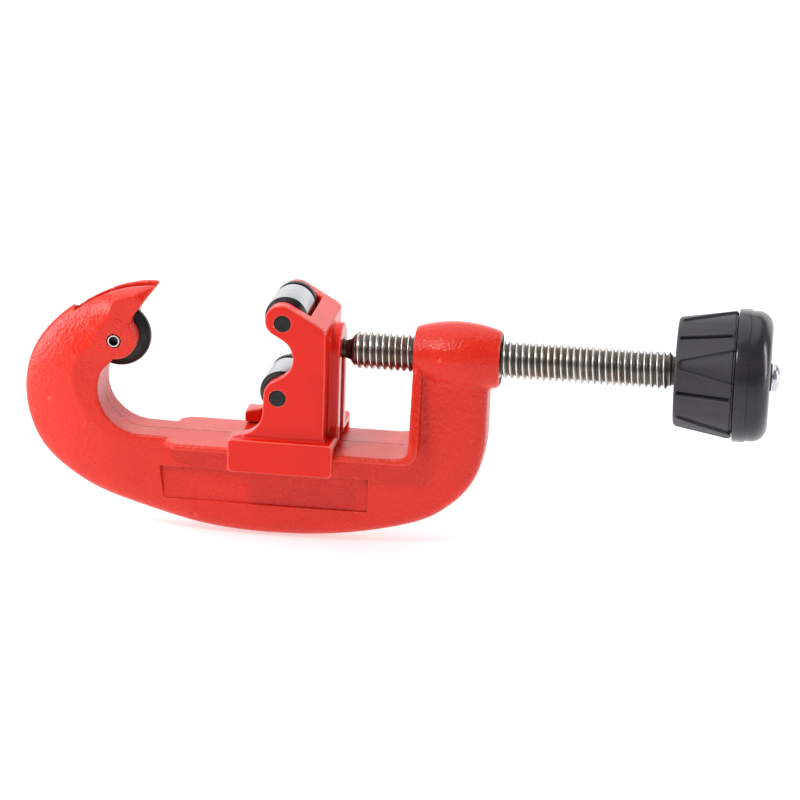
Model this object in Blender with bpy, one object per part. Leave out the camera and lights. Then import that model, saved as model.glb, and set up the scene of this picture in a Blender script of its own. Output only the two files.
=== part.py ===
# Pipe cutter: C-frame with cutter wheel, roller slide on a T rail, screw spindle and knob.
# All lengths below are millimetres in the tool frame: wheel centre at the origin,
# X along the spindle axis (wheel -> knob), Y across the frame, Z up.
import math

import bmesh
import bpy
from mathutils import Vector

# ---------- placement of the tool frame in the world ----------
MM = 0.001
ORIGIN_X = -89.6        # world X of the wheel centre, mm
AXIS_Z = 62.4           # world height of the spindle axis, mm

# ---------- frame ----------
BODY_HALF = 9.4         # half thickness of the casting at the throat
RAIL_Z = -30.4          # top of the rail
RAIL_HALF = 15.75       # half width of the rail flange
RAIL_START = 17.5
RAIL_THICK = 2.3
POST_X = 95.3           # inner face of the post
POST_OUT_X = 118.9      # outer face of the post
POST_FLANGE = 3.0
POST_FLANGE_TOP = 5.0
CORNER_R = 3.0          # rail to post fillet
CORNER_OUT_R = 5.0      # outside of the same corner of the flange
RAIL_LEAD = 3.0         # cut-off corners where the slide is put on
THROAT_C = (9.0, -16.2)
THROAT_R = 14.2
NOSE_C = (0.3, 0.6)
NOSE_R = 6.8
BEAK_TIP = (12.2, 16.7)
BEAK_NOTCH = (5.9, 8.3)
NOSE_END = (-0.8, -6.9)
SLOT_HALF = 2.8         # wheel slot
SLOT_R = 11.7
BOSS_X0, BOSS_X1 = 95.0, 122.1
BOSS_R = 11.1
BOSS_END_R = 8.7
BOSS_BORE_R = 6.5
NUT_X0, NUT_R = 110.0, 7.6
RECESS = (14.4, 81.9, -51.0, -40.0)
RECESS_FLOOR = 7.6      # distance of the sunk panel from the mid plane
RUNNING = 0.3           # gap between pieces that turn or slide on each other

# ---------- cutter wheel ----------
WHEEL_R = 10.4
WHEEL_BORE_R = 2.35
WHEEL_PIN_R = 2.0
WHEEL_HUB = 2.3
WHEEL_WEB = 1.7
PIN_FRONT, PIN_BACK = -9.8, 11.5
CLIP_Y0, CLIP_Y1 = 10.1, 10.6

# ---------- roller slide (as set in the drawing: pipe about 40 mm) ----------
ROLLERS = {"upper": (55.0, 11.5), "lower": (53.9, -12.8)}
ROLLER_R, ROLLER_HALF = 6.8, 10.9
ROLLER_GROOVE = (6.1, 8.1)
ROLLER_BORE_R = 3.0
ROLLER_PIN_R = 2.65
CHEEK_IN, CHEEK_OUT = 11.3, 16.8
LOBE_X, LOBE_Z, LOBE_R = 54.5, 12.15, 5.1
PIPE_RELIEF_C, PIPE_RELIEF_R = (51.4, 0.0), 7.1
SLIDE_RIGHT = 68.7
HOUSING_RIGHT, HOUSING_HALF = 72.0, 8.4
BASE_X0, BASE_X1 = 38.8, 72.0
BASE_TOP, SKIRT_BOTTOM = -26.4, -37.0
SKIRT_IN, SKIRT_OUT = 16.1, 19.6
LIP_LENGTH = 12.0
RELIEF = (3.0, 1.3)     # length and height of the relief over the post fillet

# ---------- spindle and knob ----------
THREAD_R = 6.0
THREAD_X0, THREAD_X1 = 75.6, 175.5
NECK_R = 2.85
HEAD_R, HEAD_X0, HEAD_X1 = 5.2, 66.4, 69.6
TAIL_R = 4.5
TAIL_END, SCREW_HOLE_R = 195.0, 2.2
DISC_X0, DISC_X1, DISC_R = 64.8, 66.1, 4.6
KNOB_X0, KNOB_X1 = 176.8, 195.0
KNOB_R0, KNOB_R1 = 16.8, 20.0
CAP_X0, CAP_BAND, CAP_X1 = 195.3, 199.3, 206.0
CAP_R = 20.75
RIBS = 6
GROOVE_PHASE = math.radians(-6.8)
HEX_HALF = 7.0          # half width across the flats of the knob bush
CROSS_PIN_X, CROSS_PIN_R = 181.5, 1.3
SPARE_X = 198.2
SPACER_X0, SPACER_X1 = 200.8, 203.7
DISH = 0.6              # depth of the dish in the end of the cap
SCREW_R, SCREW_SHANK_R = 4.3, 1.85

SIDES = 40              # segments on round pieces


def wipe():
    for obj in list(bpy.data.objects):
        bpy.data.objects.remove(obj, do_unlink=True)


def material(name, colour, roughness, metallic):
    mat = bpy.data.materials.new(name)
    mat.use_nodes = True
    shader = mat.node_tree.nodes["Principled BSDF"]
    shader.inputs["Base Color"].default_value = (*colour, 1.0)
    shader.inputs["Roughness"].default_value = roughness
    shader.inputs["Metallic"].default_value = metallic
    mat.diffuse_color = (*colour, 1.0)
    return mat


def world(x, y, z):
    return Vector(((x + ORIGIN_X) * MM, y * MM, (z + AXIS_Z) * MM))


def add(name, verts, faces, mat=None, pivot=(0.0, 0.0, 0.0), smooth=None):
    """Object from tool-frame vertices, its origin at the pivot."""
    origin = world(*pivot)
    mesh = bpy.data.meshes.new(name)
    mesh.from_pydata([world(*v) - origin for v in verts], [], faces)
    shell = bmesh.new()
    shell.from_mesh(mesh)
    bmesh.ops.remove_doubles(shell, verts=shell.verts, dist=1e-6)
    bmesh.ops.recalc_face_normals(shell, faces=shell.faces)
    shell.to_mesh(mesh)
    shell.free()
    if smooth is not None:
        mesh.shade_smooth()
        mesh.set_sharp_from_angle(angle=math.radians(smooth))
    obj = bpy.data.objects.new(name, mesh)
    obj.location = origin
    bpy.context.collection.objects.link(obj)
    if mat is not None:
        mesh.materials.append(mat)
    return obj


def boolean(obj, cutter, operation="DIFFERENCE"):
    cutter.hide_render = True
    cutter.display_type = "WIRE"
    mod = obj.modifiers.new(cutter.name, "BOOLEAN")
    mod.object = cutter
    mod.operation = operation
    mod.solver = "EXACT"


def lathe(name, profile, axis, centre, mat=None, pivot=None, sides=SIDES):
    """Solid of revolution. profile holds (along, radius); a profile that touches radius 0
    at both ends is a solid shaft, any other one is closed into a ring."""
    solid = profile[0][1] == 0.0 and profile[-1][1] == 0.0
    verts, faces, rows = [], [], []
    for along, radius in profile:
        row = []
        for k in range(1 if radius == 0.0 else sides):
            a = 2.0 * math.pi * k / sides
            c, s = radius * math.cos(a), radius * math.sin(a)
            offset = (along, c, s) if axis == "X" else (c, along, s)
            row.append(len(verts))
            verts.append(tuple(p + q for p, q in zip(centre, offset)))
        rows.append(row)
    pairs = list(zip(rows, rows[1:]))
    if not solid:
        pairs.append((rows[-1], rows[0]))
    for first, second in pairs:
        for k in range(sides):
            n = (k + 1) % sides
            if len(first) == 1:
                faces.append((first[0], second[k], second[n]))
            elif len(second) == 1:
                faces.append((first[k], first[n], second[0]))
            else:
                faces.append((first[k], first[n], second[n], second[k]))
    return add(name, verts, faces, mat, centre if pivot is None else pivot, smooth=35)


def prism(name, outline, low, high, mat=None, pivot=(0.0, 0.0, 0.0), along="Y", smooth=None):
    """Straight prism over an outline. along=Y: outline in XZ; along=X: outline in YZ;
    along=Z: outline in XY."""
    count = len(outline)
    place = {"Y": lambda p, h: (p[0], h, p[1]), "X": lambda p, h: (h, p[0], p[1]),
             "Z": lambda p, h: (p[0], p[1], h)}[along]
    verts = [place(p, low) for p in outline] + [place(p, high) for p in outline]
    faces = [tuple(range(count)), tuple(range(2 * count - 1, count - 1, -1))]
    for k in range(count):
        n = (k + 1) % count
        faces.append((k, n, n + count, k + count))
    return add(name, verts, faces, mat, pivot, smooth)


def arc(centre, radius, start, end, steps):
    """Points of an arc, angles in degrees from +X towards +Z."""
    points = []
    for k in range(steps + 1):
        a = math.radians(start + (end - start) * k / steps)
        points.append((centre[0] + radius * math.cos(a), centre[1] + radius * math.sin(a)))
    return points


def spline(points, samples):
    """Catmull-Rom curve through the points, `samples` intervals per span."""
    ends = [points[0]] + list(points) + [points[-1]]
    curve = []
    for k in range(1, len(ends) - 2):
        p0, p1, p2, p3 = (Vector(p) for p in ends[k - 1:k + 3])
        for j in range(samples):
            t = j / samples
            q = 0.5 * ((2 * p1) + (p2 - p0) * t + (2 * p0 - 5 * p1 + 4 * p2 - p3) * t * t
                       + (3 * p1 - p0 - 3 * p2 + p3) * t ** 3)
            curve.append((q.x, q.y))
    curve.append(tuple(points[-1]))
    return curve


def at_lengths(path, fractions):
    """Points of a polyline at fractions of its length."""
    steps = [math.dist(a, b) for a, b in zip(path, path[1:])]
    total = sum(steps)
    found = []
    for fraction in fractions:
        left = fraction * total
        k = 0
        while k < len(steps) - 1 and left > steps[k]:
            left -= steps[k]
            k += 1
        t = left / steps[k]
        found.append(tuple(a + (b - a) * t for a, b in zip(path[k], path[k + 1])))
    return found


def even(count):
    return [k / count for k in range(count + 1)]


# =============================== frame ===============================
def frame_stations():
    """Points on the throat side and the back side round the C, each pair with the shape of
    its section."""
    back = spline([(11.6, 17.6), (5.4, 16.9), (-2.4, 14.8), (-13.7, 9.6), (-24.3, -0.5),
                   (-29.8, -12.3), (-29.7, -26.6), (-23.4, -39.7), (-9.1, -50.2), (9.4, -56.3),
                   (32.0, -61.1), (54.0, -62.2), (76.0, -60.3), (97.3, -55.0), (108.0, -48.5),
                   (115.2, -39.8), (118.5, -29.0), (POST_OUT_X, -18.0), (POST_OUT_X, -2.0)], 8)
    n = len(back) - 1
    # inner path, intervals, share of the back curve it is paired with, and the section's
    # crease distance, taper and squareness at its two ends
    pieces = [
        ([BEAK_TIP, BEAK_NOTCH], 5, (0.0, 0.115), (0.5, 8.0), (0.20, 0.25), (2.2, 2.4)),
        (arc(NOSE_C, NOSE_R, 48, -26, 6), 5, (0.115, 0.175), (8.0, 13.0), (0.25, 0.30), (2.4, 2.4)),
        (arc(NOSE_C, NOSE_R, -26, -100, 6), 5, (0.175, 0.240), (13.0, 10.6), (0.30, 0.30),
         (2.4, 2.4)),
        ([NOSE_END] + arc(THROAT_C, THROAT_R, 155, 200, 7), 6, (0.240, 0.345), (10.6, 5.8),
         (0.30, 0.30), (2.4, 2.4)),
        (arc(THROAT_C, THROAT_R, 200, 270, 10), 9, (0.345, 0.545), (5.8, 1.8), (0.30, 0.14),
         (2.4, 2.8)),
        ([(THROAT_C[0], RAIL_Z), (POST_X - CORNER_R, RAIL_Z)], 8, (0.545, 0.760), (1.8, 2.0),
         (0.06, 0.06), (3.6, 3.6)),
        (arc((POST_X - CORNER_R, RAIL_Z + CORNER_R), CORNER_R, 270, 360, 5), 5, (0.760, 0.900),
         (2.0, 2.0), (0.06, 0.04), (3.6, 5.0)),
        ([(POST_X, RAIL_Z + CORNER_R), (POST_X, 2.0)], 3, (0.900, 1.0), (2.0, 2.0),
         (0.04, 0.04), (5.0, 6.0)),
    ]
    stations = []
    for path, count, share, *shape in pieces:
        inner = at_lengths(path, even(count))
        outer = at_lengths(back[round(share[0] * n):round(share[1] * n) + 1], even(count))
        for k, (p, q) in enumerate(zip(inner, outer)):
            if not stations or math.dist(stations[-1][0], p) > 0.2:
                values = [first + (last - first) * k / count for first, last in shape]
                stations.append((p, q, *values))
    return stations


def section(inner, outer, crease, taper, power):
    """Ring of tool-frame points across the C at one station: a flat rim beside the throat,
    a crease, then a convex outer part."""
    p, q = Vector((inner[0], 0.0, inner[1])), Vector((outer[0], 0.0, outer[1]))
    depth = (q - p).length
    crease = min(crease, 0.75 * depth)
    half = BODY_HALF * min(1.0, 0.35 + depth / 9.0)
    edge = min(0.5, 0.2 * crease)
    side = [(0.0, half - edge), (edge, half), (crease, half)]
    for s in (0.25, 0.5, 0.7, 0.85, 0.95):
        w = half * (1.0 - taper * s) * (1.0 - s ** power) ** (1.0 / power)
        side.append((crease + (depth - crease) * s, w))
    ring = [(u, -w) for u, w in side] + [(depth, 0.0)] + [(u, w) for u, w in reversed(side)]
    along = (q - p).normalized()
    return [tuple(p + along * u + Vector((0.0, w, 0.0))) for u, w in ring]


def build_frame(red):
    rings = [section(*station) for station in frame_stations()]
    size = len(rings[0])
    verts = [v for ring in rings for v in ring]
    faces = [tuple(range(size)), tuple(range(len(verts) - 1, len(verts) - 1 - size, -1))]
    for k in range(len(rings) - 1):
        for j in range(size):
            m = (j + 1) % size
            a, b = k * size, (k + 1) * size
            faces.append((a + j, a + m, b + m, b + j))
    frame = add("frame", verts, faces, red, smooth=32)

    # flange of the rail, turned up along the post and narrowed towards the boss
    under = RAIL_Z - RAIL_THICK
    right = POST_X + POST_FLANGE
    flange = [(RAIL_START, RAIL_Z)]
    flange += arc((POST_X - CORNER_R, RAIL_Z + CORNER_R), CORNER_R, 270, 360, 5)
    flange += [(POST_X, POST_FLANGE_TOP), (right, POST_FLANGE_TOP)]
    flange += arc((right - CORNER_OUT_R, under + CORNER_OUT_R), CORNER_OUT_R, 0, -90, 6)
    rail = prism("cut_rail", flange + [(RAIL_START, under)], -RAIL_HALF, RAIL_HALF)
    for side, sign in (("front", -1), ("back", 1)):
        lead = prism("cut_lead_" + side,
                     [(RAIL_START - 1.0, sign * (RAIL_HALF - RAIL_LEAD - 1.0)),
                      (RAIL_START + RAIL_LEAD + 1.0, sign * (RAIL_HALF + 1.0)),
                      (RAIL_START - 1.0, sign * (RAIL_HALF + 1.0))],
                     under - 1.0, RAIL_Z + 1.0, along="Z")
        boolean(rail, lead)
        taper = prism("cut_taper_" + side,
                      [(sign * RAIL_HALF, RAIL_Z + 4.0), (sign * 10.4, -4.0), (sign * 6.0, 6.0),
                       (sign * 20.0, 6.0), (sign * 20.0, RAIL_Z + 4.0)],
                      POST_X - 1.0, right + 1.0, along="X")
        boolean(rail, taper)
    boolean(frame, rail, "UNION")
    bulge = []
    span = BOSS_X1 - BOSS_X0
    for k in range(11):
        t = k / 10.0
        r = BOSS_END_R + (BOSS_R - BOSS_END_R) * (1.0 - (2.0 * t - 1.0) ** 2)
        bulge.append((span * t, r))
    boss = lathe("cut_boss", [(0.0, 0.0)] + bulge + [(span, 0.0)], "X", (BOSS_X0, 0.0, 0.0), sides=40)
    boolean(frame, boss, "UNION")

    # slot for the wheel: a disc round it, opened to the top of the beak and to the throat
    slot = prism("cut_slot", arc((0.0, 0.0), SLOT_R, 180, 305, 14)
                 + [(40.0, -6.0), (40.0, 30.0), (-17.0, 30.0), (-14.4, 8.0)],
                 -SLOT_HALF, SLOT_HALF)
    boolean(frame, slot)
    pin_bore = lathe("cut_wheel_pin", [(-30.0, 0.0), (-30.0, WHEEL_BORE_R), (30.0, WHEEL_BORE_R),
                                       (30.0, 0.0)], "Y", (0.0, 0.0, 0.0), sides=32)
    boolean(frame, pin_bore)
    spindle_bore = lathe("cut_spindle", [(-40.0, 0.0), (-40.0, BOSS_BORE_R),
                                         (NUT_X0 - BOSS_X0, BOSS_BORE_R),
                                         (NUT_X0 - BOSS_X0, NUT_R + RUNNING), (60.0, NUT_R + RUNNING),
                                         (60.0, 0.0)], "X", (BOSS_X0, 0.0, 0.0), sides=40)
    boolean(frame, spindle_bore)
    x0, x1, z0, z1 = RECESS
    for sign in (-1, 1):
        panel = prism("cut_recess_%s" % ("front" if sign < 0 else "back"),
                      [(x0 + 0.8, z0), (x1, z0), (x1, z1), (x0, z1)],
                      sign * RECESS_FLOOR, sign * 15.0)
        boolean(frame, panel)
    return frame


# =============================== roller slide ===============================
def build_slide(red):
    """Two cheeks joined by a wall behind the rollers, on skirts that run down the flange."""
    bottom = RAIL_Z + RUNNING
    slope = math.radians(61.0)
    cheek = arc((LOBE_X, LOBE_Z), LOBE_R, 61, 232, 12)
    cheek += arc(PIPE_RELIEF_C, PIPE_RELIEF_R, 60, -60, 12)
    cheek += arc((LOBE_X, -LOBE_Z), LOBE_R, 128, 185, 5)
    cheek += arc((40.9, -17.4), 8.4, -8, -84, 6)
    top_z = LOBE_Z + (LOBE_R - (SLIDE_RIGHT - LOBE_X) * math.cos(slope)) / math.sin(slope)
    cheek += [(BASE_X0 + 0.8, BASE_TOP), (BASE_X0 + 0.8, bottom + 2.5), (BASE_X0 + 3.3, bottom),
              (SLIDE_RIGHT, bottom), (SLIDE_RIGHT, top_z - 0.9), (SLIDE_RIGHT - 0.9, top_z + 0.3)]
    slide = prism("roller_slide", cheek, -CHEEK_OUT, CHEEK_OUT, red)

    def upright(name, half, x0, x1, low):
        outline = [(-half, low)] + arc((0.0, 0.0), half, 180, 0, 12) + [(half, low)]
        return prism(name, outline, x0, x1, along="X")

    boolean(slide, upright("cut_housing", HOUSING_HALF, SLIDE_RIGHT - 2.0, HOUSING_RIGHT, bottom),
            "UNION")
    block = prism("cut_base", [(BASE_X0, -SKIRT_OUT), (BASE_X1, -SKIRT_OUT), (BASE_X1, SKIRT_OUT),
                               (BASE_X0, SKIRT_OUT)], SKIRT_BOTTOM, BASE_TOP, along="Z")
    bevel = block.modifiers.new("edges", "BEVEL")
    bevel.width = 0.9 * MM
    bevel.segments = 2
    bevel.harden_normals = False
    boolean(slide, block, "UNION")

    # room for the rollers and the pipe, open down to the rail
    window = prism("cut_window", [(30.0, -50.0), (63.0, -50.0), (63.0, 30.0), (30.0, 30.0)],
                   -CHEEK_IN, CHEEK_IN)
    boolean(slide, window)
    under = RAIL_Z - RAIL_THICK - RUNNING
    rail_way = prism("cut_rail_way", [(BASE_X0 - 9.0, under), (BASE_X0 - 9.0, bottom),
                                      (BASE_X1 - RELIEF[0], bottom), (BASE_X1, bottom + RELIEF[1]),
                                      (BASE_X1 + 9.0, bottom + RELIEF[1]), (BASE_X1 + 9.0, under)],
                     -SKIRT_IN, SKIRT_IN)
    boolean(slide, rail_way)
    no_lips = prism("cut_no_lips", [(-SKIRT_IN, -50.0), (-SKIRT_IN, RAIL_Z - 1.0),
                                    (SKIRT_IN, RAIL_Z - 1.0), (SKIRT_IN, -50.0)],
                    BASE_X0 + LIP_LENGTH, BASE_X1 + 9.0, along="X")
    boolean(slide, no_lips)

    # upright T slot for the neck and head of the spindle, open to the rail
    boolean(slide, upright("cut_neck_slot", NECK_R + 0.4, HEAD_X1, HOUSING_RIGHT + 9.0, -40.0))
    boolean(slide, upright("cut_head_slot", HEAD_R + 0.5, HEAD_X0 - 1.9, HEAD_X1 + 0.4, -40.0))
    for name, (x, z) in ROLLERS.items():
        radius = ROLLER_PIN_R + RUNNING
        bore = lathe("cut_pin_" + name, [(-30.0, 0.0), (-30.0, radius), (30.0, radius),
                                         (30.0, 0.0)], "Y", (x, 0.0, z), sides=32)
        boolean(slide, bore)
    return slide


# =============================== wheel, rollers, pins ===============================
def wheel_profile():
    """Closed ring: hub, thin web and a sharp rim, symmetric across the width."""
    right = [(WHEEL_HUB, WHEEL_BORE_R), (WHEEL_HUB, 4.2), (WHEEL_WEB, 4.6), (WHEEL_WEB, 7.4),
             (0.12, WHEEL_R)]
    return right + [(-a, r) for a, r in reversed(right)]


def wheel_pin_profile():
    """Solid pin with a shallow cup in its front end and a groove for the clip at the back."""
    return [(PIN_FRONT, 0.0), (PIN_FRONT, 1.55), (PIN_FRONT - 0.3, 1.55), (PIN_FRONT - 0.3, 1.8),
            (PIN_FRONT - 0.1, WHEEL_PIN_R), (CLIP_Y0 - 0.1, WHEEL_PIN_R), (CLIP_Y0 - 0.1, 1.5),
            (CLIP_Y1 + 0.1, 1.5), (CLIP_Y1 + 0.1, WHEEL_PIN_R), (PIN_BACK - 0.3, WHEEL_PIN_R),
            (PIN_BACK, WHEEL_PIN_R - 0.3), (PIN_BACK, 0.0)]


def roller_profile():
    """Closed ring, chamfered at the front, with a groove near its back end."""
    low, high = ROLLER_GROOVE
    return [(-ROLLER_HALF, ROLLER_BORE_R), (-ROLLER_HALF, ROLLER_R - 1.1),
            (1.5 - ROLLER_HALF, ROLLER_R), (low, ROLLER_R), (low + 0.2, ROLLER_R - 1.0),
            (high - 0.2, ROLLER_R - 1.0), (high, ROLLER_R), (ROLLER_HALF - 0.4, ROLLER_R),
            (ROLLER_HALF, ROLLER_R - 0.4), (ROLLER_HALF, ROLLER_BORE_R)]


def pin_profile(length, radius):
    """Solid pin with chamfered ends."""
    half = [(-length, 0.0), (-length, radius - 0.3), (-length + 0.3, radius)]
    return half + [(-a, r) for a, r in reversed(half)]


# =============================== spindle ===============================
def spindle_profile():
    return [(HEAD_X0, 0.0), (HEAD_X0, HEAD_R - 0.6), (HEAD_X0 + 0.6, HEAD_R),
            (HEAD_X1 - 0.3, HEAD_R), (HEAD_X1 - 0.3, NECK_R), (73.6, NECK_R), (THREAD_X0, 5.0),
            (THREAD_X0 + 1.0, THREAD_R), (THREAD_X1 - 1.0, THREAD_R), (THREAD_X1, 5.2),
            (THREAD_X1, TAIL_R), (TAIL_END - 0.4, TAIL_R), (TAIL_END, TAIL_R - 0.4),
            (TAIL_END, SCREW_HOLE_R), (TAIL_END - 11.0, SCREW_HOLE_R), (TAIL_END - 11.0, 0.0)]


# =============================== knob ===============================
def build_knob(black):
    """Cone with six narrow grooves and a wedge-shaped scoop between each pair."""
    # share of the length, depth of the grooves, depth of the scoops
    rows = [(0.0, 0.0, 0.0), (0.045, 0.0, 0.0), (0.09, 1.1, 0.0), (0.13, 1.1, 0.6),
            (0.5, 1.1, 0.7), (0.93, 1.1, 0.8), (0.965, 0.0, 0.0), (1.0, 0.0, 0.0)]
    pitch = 360.0 / RIBS
    verts, faces = [], []
    for t, groove, scoop in rows:
        radius = KNOB_R0 + (KNOB_R1 - KNOB_R0) * t - (0.9 if t == 0.0 else 0.0)
        wedge = 5.0 + 11.0 * t
        across = [(-1.8, groove), (1.8, groove), (3.2, 0.0), (30.0 - wedge, 0.0),
                  (31.2 - wedge, scoop), (30.0, scoop * 0.8), (28.8 + wedge, scoop),
                  (30.0 + wedge, 0.0), (pitch - 3.2, 0.0)]
        for rib in range(RIBS):
            for off, down in across:
                a = GROOVE_PHASE + math.radians(rib * pitch + off)
                r = radius - down
                verts.append((KNOB_X0 + (KNOB_X1 - KNOB_X0) * t, -r * math.cos(a),
                              r * math.sin(a)))
    size = len(verts) // len(rows)
    for k in range(len(rows) - 1):
        for j in range(size):
            m = (j + 1) % size
            a, b = k * size, (k + 1) * size
            faces.append((a + j, a + m, b + m, b + j))
    faces.append(tuple(range(size)))
    faces.append(tuple(range(len(verts) - 1, len(verts) - 1 - size, -1)))
    knob = add("knob_body", verts, faces, black, (KNOB_X0, 0.0, 0.0), smooth=28)
    sleeve = prism("cut_bush_seat", hexagon(HEX_HALF + RUNNING), KNOB_X0 + 2.7, KNOB_X1 + 9.0, along="X")
    boolean(knob, sleeve)
    shaft = lathe("cut_knob_bore", [(-9.0, 0.0), (-9.0, TAIL_R + 0.4), (9.0, TAIL_R + 0.4),
                                    (9.0, 0.0)], "X", (KNOB_X0, 0.0, 0.0), sides=32)
    boolean(knob, shaft)
    return knob


def hexagon(half):
    corner = half / math.cos(math.pi / 6.0)
    return [(corner * math.cos(math.pi * k / 3.0), corner * math.sin(math.pi * k / 3.0))
            for k in range(6)]


def cap_profile():
    """Closed ring: band, small step, domed edge, flat end with a shallow dish, open inside."""
    dome_r, start = 5.0, CAP_R - 0.4
    dome = arc((CAP_X1 - dome_r, start - dome_r), dome_r, 90, 0, 8)
    outer = [(CAP_X0, CAP_R - 0.3), (CAP_X0 + 0.3, CAP_R), (CAP_BAND, CAP_R), (CAP_BAND, start)]
    outer += dome + [(CAP_X1, 9.5), (CAP_X1 - DISH, 8.5), (CAP_X1 - DISH, SCREW_HOLE_R)]
    inner = [(CAP_X1 - 2.0, SCREW_HOLE_R), (CAP_X1 - 2.0, 12.5), (CAP_X0, 14.5)]
    return outer + inner


def cap_screw_profile():
    """Round-headed screw that holds the cap to the spindle's tail."""
    head = CAP_X1 - DISH + 1.4
    tip = TAIL_END - 10.0
    return head, [(tip, 0.0), (tip, 1.5), (tip + 0.4, SCREW_SHANK_R), (head, SCREW_SHANK_R),
                  (head, SCREW_R), (head + 0.8, SCREW_R), (head + 1.7, 3.4), (head + 2.2, 2.0),
                  (head + 2.4, 0.0)]


def build():
    wipe()
    red_cast = material("red_enamel", (0.72, 0.035, 0.015), 0.38, 0.0)
    red_slide = material("red_gloss", (0.66, 0.024, 0.010), 0.25, 0.0)
    black_steel = material("black_steel", (0.025, 0.024, 0.025), 0.42, 0.9)
    roller_steel = material("ground_steel", (0.52, 0.52, 0.53), 0.28, 1.0)
    pin_black = material("pin_black", (0.020, 0.018, 0.022), 0.5, 0.6)
    zinc = material("zinc_plate", (0.62, 0.63, 0.65), 0.35, 1.0)
    oiled = material("oiled_steel", (0.24, 0.21, 0.18), 0.33, 1.0)
    nut_black = material("nut_black", (0.03, 0.03, 0.03), 0.5, 0.5)
    hard_steel = material("hardened_steel", (0.38, 0.38, 0.40), 0.30, 1.0)
    matte_black = material("black_plastic", (0.030, 0.029, 0.034), 0.55, 0.0)
    gloss_black = material("gloss_plastic", (0.022, 0.021, 0.026), 0.28, 0.0)
    bush_steel = material("bush_steel", (0.45, 0.45, 0.44), 0.4, 1.0)
    chrome = material("chrome", (0.75, 0.76, 0.78), 0.12, 1.0)
    fibre = material("black_fibre", (0.02, 0.02, 0.02), 0.75, 0.0)
    middle = (0.0, 0.0, 0.0)

    build_frame(red_cast)
    lathe("cutter_wheel", wheel_profile(), "Y", middle, black_steel)
    lathe("wheel_pin", wheel_pin_profile(), "Y", middle, zinc, sides=32)
    clip = [(CLIP_Y0, 1.8), (CLIP_Y0, 3.4), (CLIP_Y1, 3.4), (CLIP_Y1, 1.8)]
    lathe("wheel_pin_clip", clip, "Y", middle, hard_steel, sides=32)

    build_slide(red_slide)
    for name, (x, z) in ROLLERS.items():
        centre = (x, 0.0, z)
        lathe(name + "_roller", roller_profile(), "Y", centre, roller_steel)
        lathe(name + "_roller_pin", pin_profile(CHEEK_OUT - 0.1, ROLLER_PIN_R), "Y", centre,
              pin_black, sides=32)

    spindle = lathe("spindle", spindle_profile(), "X", middle, oiled, (HEAD_X0, 0.0, 0.0))
    disc = [(DISC_X0, 0.0), (DISC_X0, DISC_R), (DISC_X1, DISC_R), (DISC_X1, 0.0)]
    lathe("thrust_disc", disc, "X", middle, hard_steel, (DISC_X0, 0.0, 0.0), sides=32)
    inner = THREAD_R + RUNNING
    nut = [(NUT_X0 + RUNNING, inner), (NUT_X0 + RUNNING, NUT_R), (BOSS_X1 - 0.2, NUT_R),
           (BOSS_X1 - 0.2, inner + 0.5), (BOSS_X1 - 0.7, inner)]
    lathe("spindle_nut", nut, "X", middle, nut_black, (NUT_X0, 0.0, 0.0))

    # knob on a hexagonal bush, pinned to the tail of the spindle
    build_knob(matte_black)
    bush_x0, bush_x1 = KNOB_X0 + 3.0, KNOB_X1 - 0.3
    bush = prism("knob_bush", hexagon(HEX_HALF), bush_x0, bush_x1, bush_steel,
                 (bush_x0, 0.0, 0.0), along="X")
    bore = lathe("cut_bush_bore", [(-9.0, 0.0), (-9.0, TAIL_R + RUNNING), (30.0, TAIL_R + RUNNING),
                                   (30.0, 0.0)], "X", (KNOB_X0, 0.0, 0.0), sides=32)
    boolean(bush, bore)
    centre = (CROSS_PIN_X, 0.0, 0.0)
    lathe("knob_cross_pin", pin_profile(HEX_HALF - 0.2, CROSS_PIN_R), "Y", centre, hard_steel,
          sides=24)
    radius = CROSS_PIN_R + RUNNING
    hole = lathe("cut_cross_pin", [(-20.0, 0.0), (-20.0, radius), (20.0, radius), (20.0, 0.0)],
                 "Y", centre, sides=24)
    boolean(bush, hole)
    boolean(spindle, hole)

    # cap with its screw, and the spare wheel stored inside it
    lathe("knob_cap", cap_profile(), "X", middle, gloss_black, (CAP_X0, 0.0, 0.0))
    lathe("spare_cutter_wheel", wheel_profile(), "X", (SPARE_X, 0.0, 0.0), black_steel)
    spacer = [(SPACER_X0, SCREW_HOLE_R), (SPACER_X0, 4.4), (SPACER_X1, 4.4),
              (SPACER_X1, SCREW_HOLE_R)]
    lathe("spare_wheel_spacer", spacer, "X", middle, hard_steel, (SPACER_X0, 0.0, 0.0), sides=32)
    seat = CAP_X1 - DISH + RUNNING
    washer = [(seat, SCREW_HOLE_R), (seat, SCREW_R), (seat + 0.8, SCREW_R),
              (seat + 0.8, SCREW_HOLE_R)]
    lathe("cap_washer", washer, "X", middle, fibre, (seat, 0.0, 0.0), sides=32)
    head, profile = cap_screw_profile()
    screw = lathe("cap_screw", profile, "X", middle, chrome, (head, 0.0, 0.0), sides=32)
    arm, width = 2.1, 0.45
    cross = [(-width, -arm), (width, -arm), (width, -width), (arm, -width), (arm, width),
             (width, width), (width, arm), (-width, arm), (-width, width), (-arm, width),
             (-arm, -width), (-width, -width)]
    boolean(screw, prism("cut_cross", cross, head + 0.9, head + 9.0, along="X"))


build()
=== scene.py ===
# Looks of the pipe cutter: cast red frame and slide, oiled screw spindle, ground rollers,
# black plastic knob. Lengths are millimetres in the tool frame (wheel centre at the origin,
# X along the spindle, Z up) unless a name says otherwise; every place comes from the CAD.
import math

import bmesh
import bpy
import numpy as np
from mathutils import Matrix, Vector

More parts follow.
